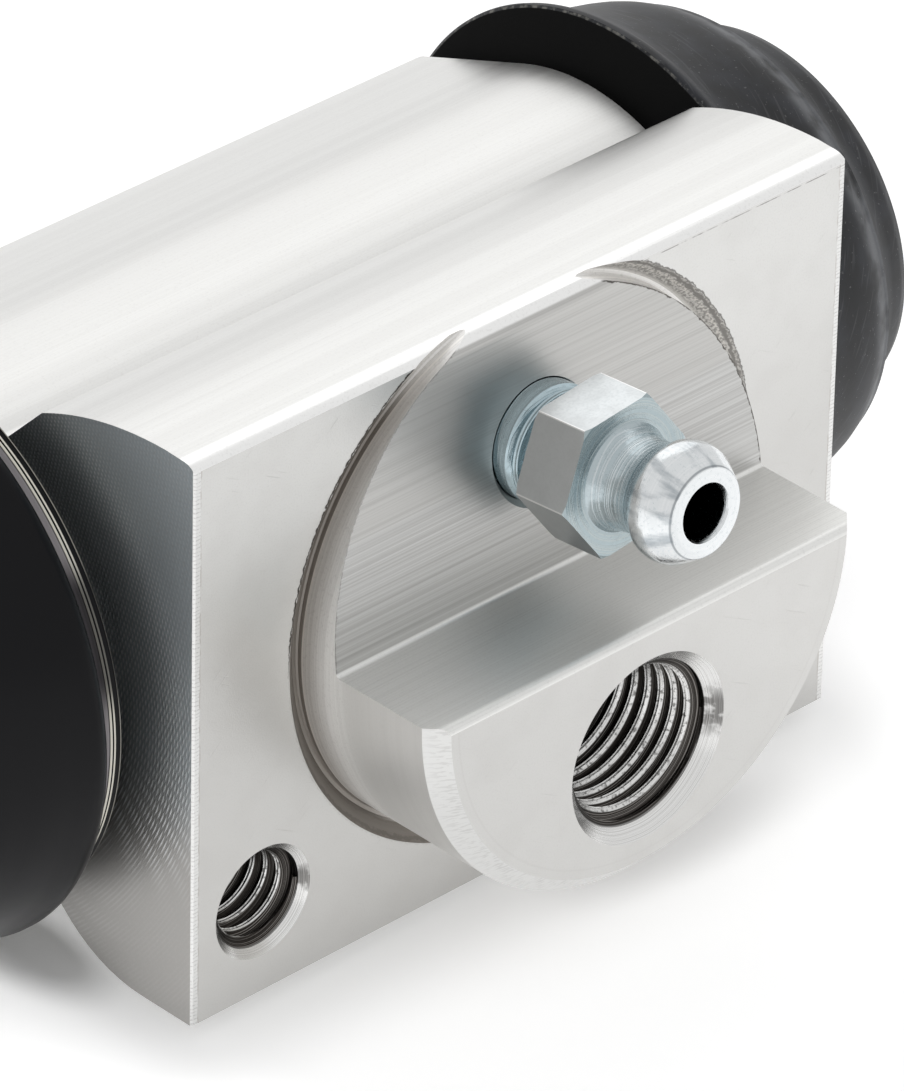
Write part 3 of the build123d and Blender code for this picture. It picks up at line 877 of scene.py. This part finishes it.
# %% Face the mounting side and turn the spigot
keep = lathe(
    "facing_cutter",
    [
        (0, boss_height), (spigot_radius - spigot_chamfer, boss_height),
        (spigot_radius, boss_height - spigot_chamfer), (spigot_radius, 0.1 - groove_depth),
        (spigot_radius + 0.08, -groove_depth), (spigot_radius + 0.3, -groove_depth),
        (groove_radius - 0.1, -0.12), (groove_radius, 0), (60, 0), (60, -45), (0, -45),
    ],
    spigot_frame,
    finishes["faced"], finishes["turned"], finishes["chamfered"],
    steps=360,
)
for face in keep.data.polygons:
    flat = face.normal.y < -0.99 and abs(face.center.y) < 0.1 * mm
    nose = face.normal.y < -0.99 and face.center.y < -9 * mm
    chamfer = face.center.y < -9 * mm and not nose
    face.material_index = 0 if flat or nose else 2 if chamfer else 1
cut(body, keep, "INTERSECT")

corner, spare = 0.12, 0.2
for side in sides.values():
    reach = half_length - corner
    breaker = draw(
        "corner_breaker",
        [
            (side * (reach - spare), -spare, -40),
            (side * (half_length + spare), corner + spare, -40),
            (side * (half_length + spare), -spare, -40),
            (side * (reach - spare), -spare, -40),
        ],
    )
    push(breaker, (0, 0, 80))
    breaker.data.materials.append(finishes["faced"])
    cut(body, breaker)
tell(body)

# %% Collars, bore and ports
for side in sides.values():
    collar = lathe(
        "collar",
        [(0, -2), (collar_radius, -2), (collar_radius, 0.6), (11.8, 0.6), (11.8, 2.2),
         (collar_radius, 2.2), (collar_radius, collar_length - 0.3),
         (collar_radius - 0.3, collar_length), (0, collar_length)],
        end_frame(side), finishes["drilled"],
    )
    cut(body, collar, "UNION")

bore_radius = 10.32
far_end = -2 * half_length - collar_length
bore_cutter = lathe(
    "bore_cutter",
    [
        (0, collar_length + 1), (bore_radius + 1.6, collar_length + 1),
        (bore_radius, collar_length - 0.6), (bore_radius, far_end + 0.6),
        (bore_radius + 1.6, far_end - 1), (0, far_end - 1),
    ],
    end_frame(1), finishes["drilled"],
)
cut(body, bore_cutter)

inlet_profile = [
    (0, 0.5), (inlet_radius + 1.25, 0.5), (inlet_radius, -0.75), (inlet_radius, -11.5),
    (1.6, -13.5), (1.6, -28), (0, -28),
]
bleed_profile = [
    (0, 1.72), (4.2, 1.72), (3.5, 1.02), (3.5, -9.3), (1.1, -10.7), (1.1, -18), (0, -18),
]
bolt_profile = [
    (0, 0.5), (bolt_radius + 0.95, 0.5), (bolt_radius, -0.45), (bolt_radius, -8), (0, -9.8),
]
holes = {"inlet": (inlet_profile, front_frame(*inlet_place)), "bleed": (bleed_profile, bleed_frame)}
for name in sides:
    holes[f"{name}_bolt"] = (bolt_profile, front_frame(*bolt_places[name]))
for name, (profile, seat) in holes.items():
    finish = finishes.get(name, finishes["drilled"])
    cut(body, lathe(f"{name}_drill", profile, seat, finish, steps=160))
for face in body.data.polygons:
    if face.normal.y < -0.99 and face.center.y < -9.9 * mm:
        face.material_index = body.data.materials.find("faced_aluminium")
smooth(body)
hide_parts("cylinder_body")
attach(body, "cylinder")
tell(body)

# %% [markdown]
# ## Threads
#
# A thread is a ridge that climbs around its hole. Its section is swept by the Screw modifier,
# one turn for each pitch. The countersink cuts the first turns away, so each vertex that would
# stand inside its cone is moved out to the cone.

# %% Cut the threads
def thread(name, hole, major, depth, countersink, turns):
    """A ridge of pitch 1 mm in a hole, which starts at a depth below the hole's face."""
    pitch, wall, height = 1.0, 0.05, 0.59
    minor = major + wall - height
    ridge = draw(
        name,
        [
            (major + wall, 0, 0), (minor + 0.03, 0, 0.37), (minor, 0, 0.41),
            (minor + 0.09, 0, 0.47), (minor + 0.09, 0, 0.53), (minor, 0, 0.59),
            (minor + 0.03, 0, 0.63), (major + wall, 0, pitch * 0.995),
        ],
    )
    bpy.ops.mesh.select_all(action="SELECT")
    bpy.ops.mesh.edge_face_add()
    bpy.ops.mesh.delete(type="ONLY_FACE")
    bpy.ops.object.mode_set(mode="OBJECT")
    coil = ridge.modifiers.new("coil", "SCREW")
    coil.axis = "Z"
    coil.screw_offset = pitch * mm
    coil.iterations = turns
    coil.steps = coil.render_steps = 120
    bpy.ops.object.modifier_apply(modifier=coil.name)
    bpy.ops.object.mode_set(mode="EDIT")
    bpy.ops.mesh.select_all(action="SELECT")
    bpy.ops.mesh.fill_holes(sides=8)
    finish_edit(ridge)
    for vertex in ridge.data.vertices:
        vertex.co.z -= depth * mm
        radius = sqrt(vertex.co.x**2 + vertex.co.y**2)
        least = (countersink + wall) * mm + vertex.co.z
        if radius < least:
            vertex.co.x *= least / radius
            vertex.co.y *= least / radius
    place(ridge, holes[hole][1])
    smooth(ridge, 40)
    ridge.data.materials.append(finishes[hole])
    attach(ridge, "cylinder")
    tell(ridge)
    return ridge


thread("inlet_thread", "inlet", major=4.9, depth=11.1, countersink=5.75, turns=10)
for name in sides:
    thread(
        f"{name}_bolt_thread", f"{name}_bolt", major=3, depth=8.05, countersink=3.45, turns=7
    )

# %% [markdown]
# ## The bleed screw
#
# The screw is turned from a hexagonal bar. Its shank keeps a few crests of its thread outside
# the port, which are made a little out of true, as a thread's crests climb. The hexagon's
# corners are taken off by a cone, so each flat ends in a curve.

# %% Zinc finishes
zinc = (0.66, 0.71, 0.73, 1)
zinc_shade = (0.36, 0.44, 0.47, 1)
bleed_axis = {"Origin": (0, 0, bleed_above_axis), "Direction": bleed_direction}
hex_start, hex_end, tip_end = 3.918, 7.638, 13.718


def rise_above_screw(paint):
    """The height above the screw's axis, square to it, in millimetres."""
    y, z = paint.here("Y", "Z")
    return (z - bleed_above_axis) * cos(bleed_tilt) + y * sin(bleed_tilt)


def turned_zinc_finish():
    """Fine rings: blue in the thread, dark on the hexagon's shoulder, with painted reflection
    streaks and a painted dark edge line on the ball, and painted shade in the fluid way.
    """
    paint = metal("turned_zinc", 0.2)
    rings, radius, along = paint.rings(0.09, 0.15, bleed_axis)
    broad = paint.rings(0.22, 0.3, bleed_axis)[0]
    fleck = paint.grain(5.0, 4.0)
    plain = along.ramp(hex_start + 1, hex_start).mix(zinc, (0.52, 0.64, 0.69, 1))
    shoulder = along.ramp(hex_end + 0.12, hex_end + 0.02)
    shoulder = shoulder * along.ramp(hex_start + 1, hex_start + 1.5)
    plain = shoulder.mix(plain, (0.46, 0.515, 0.52, 1))
    ball = along.ramp(tip_end - 3.0, tip_end - 2.4)
    plain = ball.mix(plain, (0.84, 0.86, 0.87, 1))
    line = rings.ramp(0.42, 0.60, 0.6, 0.0).most(broad.ramp(0.42, 0.5, 0.65, 0.0))
    line = line * ball.ramp(0, 1, 1.0, 0.15)
    tone = line.mix(plain, zinc_shade)

    # painted reflection: dark streaks around the cone of the ball
    angle = rise_above_screw(paint).maths("ARCTAN2", paint.here("X"))
    sweep = paint.add("ShaderNodeCombineXYZ", X=angle, Y=along * 0.12)
    reflection_streak = paint.noise("2D", Vector=sweep.outputs[0], Scale=3.6, Detail=6.0)
    painted_reflection_streaks = reflection_streak.ramp(0.44, 0.74, 0.0, 0.7) * (ball * radius.ramp(2.5, 2.6))
    tone = painted_reflection_streaks.mix(tone, (0.30, 0.34, 0.37, 1))
    # painted shade: a thin dark line at the cone's front edge
    rim = radius.band(2.62, 0.02, 0.04) * ball * 0.6
    tone = rim.mix(tone, (0.16, 0.18, 0.20, 1))
    # painted shade inside the fluid way
    hole = radius.ramp(1.62, 1.59) * along.ramp(tip_end - 0.12, tip_end - 0.24)
    tone = hole.mix(tone, (0.02, 0.03, 0.032, 1))
    tone = fleck.ramp(0.55, 0.72, 0.0, 0.25).mix(tone, zinc_shade)
    paint.shine(Base_Color=tone, Roughness=fleck.ramp(0.3, 0.7, 0.12, 0.28))
    paint.bump(line * -2.0, 0.006)
    return paint.material


def flat_zinc_finish():
    """A satin, slightly blotched flat, with painted shade on the side flats and a painted highlight
    along the corners.
    """
    paint = metal("flat_zinc", 0.30)
    fleck = paint.grain(6.0, 4.0)
    tone = fleck.ramp(0.4, 0.7, 0.0, 0.3).mix((0.74, 0.77, 0.78, 1), (0.50, 0.53, 0.54, 1))
    tone = paint.grain(0.9, 2.0).ramp(0.4, 0.7, 0.0, 0.2).mix(tone, (0.42, 0.44, 0.44, 1))
    # painted shade: the flats below the top one are painted darker
    tone = rise_above_screw(paint).ramp(3.95, 3.65, 0.0, 0.7).mix(tone, (0.48, 0.49, 0.49, 1))
    # painted highlight along the hexagon's corners
    corner = paint.group("axis_place", "Radius", **bleed_axis).ramp(4.635, 4.655, 0.0, 0.8)
    paint.shine(Base_Color=corner.mix(tone, (0.96, 0.96, 0.95, 1)))
    paint.bump(fleck, 0.004)
    return paint.material


turned_zinc = turned_zinc_finish()
flat_zinc = flat_zinc_finish()

# %% Turn the screw
screw_bore = 1.58
crests_start, crests_end, crest_climb = 1.9, 3.45, 0.12
shank = [
    (0, -10.52), (1.3, -10.52), (2.85, -9.59), (2.85, -7.19), (3.45, -6.59), (3.45, 2.0),
    (3.36, 2.1), (3.04, 2.3), (3.04, 2.36), (3.34, 2.5), (3.38, 2.56), (3.33, 2.64), (3.33, 2.72),
    (3.38, 2.8), (3.34, 2.87), (3.05, 3.02), (3.05, 3.12), (3.3, 3.25), (3.32, 3.4), (3.15, 3.5),
    (3.15, hex_start + 0.5), (0, hex_start + 0.5),
]
screw = lathe("bleed_screw_dressed", shank, Matrix(), turned_zinc, steps=192)
for vertex in screw.data.vertices:
    height = vertex.co.z / mm
    if crests_start < height < crests_end:
        turn_angle = atan2(vertex.co.y, vertex.co.x)
        vertex.co.z += crest_climb * mm * sin(turn_angle + 0.6)

bpy.ops.object.select_all(action="DESELECT")
across_flats, hex_turn = 8.1, 5.9 + 30
bpy.ops.mesh.primitive_cylinder_add(
    vertices=6, radius=across_flats / sqrt(3) * mm, depth=(hex_end - hex_start) * mm,
    location=(0, 0, (hex_start + hex_end) / 2 * mm), rotation=(0, 0, radians(hex_turn)),
)
hexagon = bpy.context.object
bpy.ops.object.transform_apply(location=True, rotation=True, scale=True)
hexagon.data.materials.append(flat_zinc)
inner, outer = 4.45, 6.45
run = (outer - inner) * tan(radians(30))
chamfer = lathe(
    "hexagon_chamfer",
    [(0, hex_start), (inner, hex_start), (outer, hex_start + run),
     (outer, hex_end - run), (inner, hex_end), (0, hex_end)],
    Matrix(), turned_zinc, steps=192,
)
cut(hexagon, chamfer, "INTERSECT")
cut(screw, hexagon, "UNION")

nipple = lathe(
    "nipple",
    [(0, hex_end - 0.5), (3.3, hex_end - 0.5), (3.3, hex_end), (3.1, hex_end + 0.08)]
    + [(radius, hex_end + reach) for radius, reach in (
        (2.95, 0.3), (2.82, 0.7), (2.72, 1.2), (2.66, 1.7), (2.66, 2.1), (2.72, 2.45),
        (2.86, 2.8), (3.08, 3.15), (3.28, 3.45), (3.4, 3.75), (3.45, 4.05), (3.45, 4.35),
        (3.41, 4.62), (3.32, 4.86), (2.68, 5.93), (2.59, 6.04), (2.5, 6.08),
    )]
    + [(0, tip_end)],
    Matrix(), turned_zinc, steps=192,
)
cut(screw, nipple, "UNION")
fluid_way = lathe(
    "fluid_way",
    [(0, -8.24), (screw_bore, -8.24), (screw_bore, tip_end - 0.42),
     (screw_bore + 0.03, tip_end - 0.25), (screw_bore + 0.12, tip_end - 0.06),
     (screw_bore + 0.2, tip_end + 0.1), (0, tip_end + 0.1)],
    Matrix(), turned_zinc, steps=128,
)
cut(screw, fluid_way)
for face in screw.data.polygons:
    if abs(face.normal.z) > 0.2:
        face.material_index = screw.data.materials.find("turned_zinc")
place(screw, bleed_frame)
smooth(screw, 24)
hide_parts("bleed_screw")
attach(screw, "bleeder")
tell(screw)

# %% [markdown]
# ## Rubber boots
#
# Each boot is turned from one closed section: bead, rim, skin, roll and lip. The left one is
# full and round. The right one has slumped: its skin is pinched at a waist, and its far end
# hangs a little lower than the bore, so its vertices are lowered in proportion to their reach.

# %% Rubber
def rubber(name, side, roughness, specular):
    """A rubber paint, and the reach along its boot's axis from the end of the body."""
    paint = Paint(name, Roughness=roughness, Specular_IOR_Level=specular)
    origin = (side * half_length, bore_to_face, -bore_drop)
    return paint, paint.group("axis_place", "Along", Origin=origin, Direction=(side, 0, 0))


def glossy_rubber():
    """Near black, with a rim of pale ridges brightened by a painted highlight, and a flank with a
    painted highlight and reflection that fades to the dome.
    """
    paint, reach = rubber("glossy_rubber", sides["left"], 0.28, 0.14)
    z = paint.here("Z")
    # painted highlight: where the rim catches the light, above and below a darker middle, fading
    # away at the bottom
    painted_highlight_zone = z.ramp(5.5, 8.5).most(z.ramp(2.0, -2.0)) * z.ramp(-11.5, -7)
    # the ridges are pale, and brighter as a painted highlight inside that zone
    ridges = (reach.band(1.82, 0.02, 0.02) * 0.4).most(
        reach.band(2.21, 0.045, 0.02), reach.band(2.45, 0.055, 0.02)
    )
    ridges = ridges * painted_highlight_zone.ramp(0, 1, 0.2, 1.0)
    # painted reflection and highlight: the flank fades from whitish next to the rim through purple
    # grey to the dark dome
    flank = reach.ramp(3.0, 2.8) * reach.ramp(2.60, 2.66) * 0.14
    tone = flank.mix((0.004, 0.004, 0.005, 1), (0.26, 0.23, 0.27, 1))
    painted_flank_highlight = reach.ramp(2.92, 2.66) * reach.ramp(2.53, 2.57) * painted_highlight_zone.ramp(0, 1, 0.12, 0.8)
    tone = painted_flank_highlight.mix(tone, (0.72, 0.68, 0.70, 1))
    paint.shine(Base_Color=ridges.mix(tone, (0.80, 0.77, 0.68, 1)))
    return paint.material


def dusty_rubber():
    """Slate grey and scuffed, with a pale band of dust and painted highlight in the waist, and
    black next to the body.
    """
    paint, reach = rubber("dusty_rubber", sides["right"], 0.5, 0.35)
    inner = reach.ramp(1.80, 1.76)
    scuff = paint.group("scratches", "Mask", Turn=1.0, Width=0.22, Length=3.5, Share=0.3)
    speck = paint.grain(4.5, 2.0).ramp(0.66, 0.74)
    cloud = paint.grain(0.5, 3.0)
    slate = cloud.ramp(0.35, 0.65).mix((0.004, 0.0045, 0.006, 1), (0.012, 0.0135, 0.018, 1))
    # a pale band in the waist: dust, and a painted highlight along the fold
    waist = reach.band(10.1, 0.3, 1.2) * cloud.ramp(0.3, 0.6) * 0.8
    slate = waist.mix(slate, (0.13, 0.135, 0.145, 1))
    slate = (scuff * 0.15).mix(slate, (0.16, 0.16, 0.17, 1))
    slate = (speck * 0.3).mix(slate, (0.22, 0.22, 0.22, 1))
    # a pale line at the rim's edge: moulding flash with a painted edge highlight
    lip = reach.band(1.81, 0.025, 0.03) * paint.grain(2.0, 3.0).ramp(0.45, 0.65) * 0.5
    slate = lip.mix(slate, (0.30, 0.29, 0.26, 1))
    paint.shine(
        Base_Color=inner.mix(slate, (0.006, 0.006, 0.006, 1)),
        Roughness=inner.ramp(0, 1, 0.48, 0.9),
        Specular_IOR_Level=inner.ramp(0, 1, 0.35, 0.1),
    )
    paint.bump(cloud * 2.0 + speck, 0.01)
    return paint.material


boot_rubbers = {"left": glossy_rubber(), "right": dusty_rubber()}

# %% Outlines of the boots, as radius and reach
boot_bead = [(12.7, 2.1), (11.9, 2.1), (11.9, 0.7), (13.4, 0.7), (16.2, 1.75)]
boot_skins = {
    "left": [
        (16.76, 1.77), (16.84, 1.79), (16.84, 1.85), (16.76, 1.89), (16.74, 2.10), (16.82, 2.14),
        (16.84, 2.22), (16.8, 2.30), (16.74, 2.33), (16.82, 2.37), (16.84, 2.46), (16.76, 2.55),
        (16.6, 2.6), (16.45, 2.7), (16.3, 2.82), (16.25, 2.92), (16.4, 3.05), (16.95, 3.22),
        (17.45, 3.42), (17.8, 3.68), (17.95, 4.0), (17.95, 4.35), (17.8, 4.85), (17.55, 5.4),
        (17.3, 6.0), (17.0, 6.8), (16.55, 7.6), (16.0, 8.5), (15.4, 9.5), (14.35, 10.45),
        (13.75, 11.1), (13.4, 11.5), (13.1, 12.1), (13.05, 12.8), (13.3, 13.4), (13.75, 14.0),
        (14.0, 14.7), (13.95, 15.25), (13.4, 15.56), (12.6, 15.66),
    ],
    "right": [
        (16.55, 1.75), (16.78, 1.86), (16.82, 2.1), (16.76, 2.4), (16.5, 2.8), (16.15, 3.3),
        (15.99, 4.04), (15.84, 4.78), (15.71, 5.53), (15.61, 6.28), (15.5, 7.03), (15.37, 7.78),
        (15.2, 8.52), (15.0, 9.14), (14.75, 9.7), (14.5, 10.1), (14.42, 10.3), (14.4, 10.5),
        (14.1, 10.75), (13.63, 11.05), (13.1, 11.6), (12.67, 12.22), (12.4, 12.93), (12.22, 13.66),
        (11.89, 14.33),
    ],
}
inner_skins = {
    "left": [
        (12.6, 14.6), (12.0, 13.6), (11.95, 12.7), (12.3, 11.6), (13.3, 10.3), (14.4, 9.3),
        (15.2, 8.0), (15.9, 6.9), (16.25, 6.0), (16.5, 5.1), (16.4, 4.5), (15.6, 4.0), (14.2, 3.2),
    ],
    "right": [
        (11.25, 13.4), (11.35, 12.9), (11.6, 12.2), (12.1, 11.4), (12.9, 10.6), (13.6, 9.8),
        (14.1, 8.8), (14.4, 7.6), (14.6, 6.0), (14.8, 4.6), (14.9, 3.7), (14.0, 3.0),
    ],
}
ends = {"left": 15.7, "right": 14.6}
sags = {"left": (0, 0, 0), "right": (0.2, -0.25, -0.03)}
roll_radius = 1.45
funnel, lip_start, lip_end = 10.85, 9.7, 11.0

# %% Turn the boots
sag_start, sag_length = 1.75, 14.25
lip_radius = 11.1
for name, side in sides.items():
    last_arc = ends[name] - roll_radius
    roll = [(radius, reach) for reach, radius in arc((last_arc, 11.2), roll_radius, 0, -90, 8)]
    lip = [(9.75, lip_end), (8.1, lip_end), (8.1, lip_start), (funnel, lip_start)]
    boot = lathe(
        f"dust_boot_{name}_dressed",
        closed(
            boot_skins[name] + roll + lip + [(funnel, last_arc), (funnel + 0.2, last_arc + 0.25)]
            + inner_skins[name] + boot_bead
        ),
        Matrix(), boot_rubbers[name], steps=360,
    )
    forward, upward, flat = sags[name]
    for vertex in boot.data.vertices:
        share = max(0, vertex.co.z / mm - sag_start) / sag_length
        if sqrt(vertex.co.x**2 + vertex.co.y**2) < lip_radius * mm:
            share = 0
        vertex.co.x = vertex.co.x * (1 + flat * min(share * 3, 1)) + upward * share * mm
        vertex.co.y += side * forward * share * mm
    place(boot, end_frame(side))
    smooth(boot, 60)
    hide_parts(f"dust_boot_{name}")
    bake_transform(boot)
    tell(boot)

# %% [markdown]
# ## Pistons
#
# The pistons hide inside the boots. Each is turned with a groove for its boot's lip, and a slot
# is milled across its head for the brake shoe's web.

# %% Turn the pistons
slot_depth, slot_width = 4.6, 5.2
for name, side in sides.items():
    piston = lathe(
        f"piston_{name}_dressed",
        [
            (0, -9.2), (9.79, -9.2), (10.29, -8.7), (10.29, 8.2), (9.4, 9.09), (9.4, 9.6),
            (8, 9.6), (8, 11.1), (8.9, 11.1), (8.9, 15.7), (8.4, 16.2), (0, 16.2),
        ],
        end_frame(side), finishes["drilled"], steps=192,
    )
    bpy.ops.object.select_all(action="DESELECT")
    bpy.ops.mesh.primitive_cube_add(
        size=1,
        location=on_bore(side * (half_length + 16.2)),
        scale=(2 * slot_depth * mm, slot_width * mm, 20 * mm),
    )
    slot_cutter = bpy.context.object
    bpy.ops.object.transform_apply(location=True, rotation=True, scale=True)
    slot_cutter.data.materials.append(finishes["extruded"])
    cut(piston, slot_cutter)
    smooth(piston)
    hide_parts(f"piston_{name}")
    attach(piston, f"{name}_piston")
    tell(piston)

# %% [markdown]
# ## Inside the bore
#
# The cups and the spreaders are the CAD solids as they are, with a finish of their own. The
# spring is a copy of its solid in two halves. Each half bends between the middle of the bore
# and its own piston, so the spring shortens as a piston comes in.

# %% Finishes of the hidden pieces
def clouded(paint, scale, first, second):
    """Gives a paint one colour in clouds of another."""
    cloud = paint.grain(scale, 3.0).ramp(0.35, 0.65)
    paint.shine(Base_Color=cloud.mix(first, second))
    return paint.material


seal_rubber = clouded(
    Paint("seal_rubber", Roughness=0.45, Specular_IOR_Level=0.4),
    1.5, (0.008, 0.008, 0.009, 1), (0.022, 0.022, 0.024, 1),
)
drawn_steel = clouded(
    metal("drawn_steel", 0.35), 3.0, (0.36, 0.35, 0.34, 1), (0.52, 0.51, 0.50, 1)
)
for name in sides:
    for piece, finish in (("piston_cup", seal_rubber), ("cup_spreader", drawn_steel)):
        for holder in bpy.data.objects[f"{piece}_{name}"].material_slots:
            holder.material = finish
        print(f"{piece}_{name}", finish.name)

# %% Cut the spring in two halves
def copy_of(piece, name):
    """A copy of an object with a mesh of its own."""
    copy = piece.copy()
    copy.data = piece.data.copy()
    copy.name = name
    bpy.context.scene.collection.objects.link(copy)
    pick(copy)
    return copy


spring = copy_of(bpy.data.objects["return_spring"], "return_spring_whole")
spring.data.materials.clear()
spring.data.materials.append(drawn_steel)
bpy.ops.object.parent_clear(type="CLEAR_KEEP_TRANSFORM")
bpy.ops.object.transform_apply(location=True, rotation=True, scale=True)
bpy.ops.object.mode_set(mode="EDIT")
bpy.ops.mesh.select_all(action="SELECT")
bpy.ops.mesh.remove_doubles(threshold=0.001 * mm)
bpy.ops.object.mode_set(mode="OBJECT")
smooth(spring)


def half_spring(name, keeps_left):
    """Cuts a copy of the spring at the middle of the bore, and closes the cut."""
    half = copy_of(spring, name)
    bpy.ops.object.mode_set(mode="EDIT")
    bpy.ops.mesh.select_all(action="SELECT")
    bpy.ops.mesh.bisect(
        plane_co=(0, 0, 0), plane_no=(1, 0, 0), use_fill=True,
        clear_outer=keeps_left, clear_inner=not keeps_left,
    )
    bpy.ops.object.mode_set(mode="OBJECT")
    tell(half)
    return half


left_half = half_spring("return_spring_left", True)
right_half = half_spring("return_spring_right", False)
bpy.data.objects.remove(spring)
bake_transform(left_half)
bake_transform(right_half)
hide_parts("return_spring")
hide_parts("return_spring")
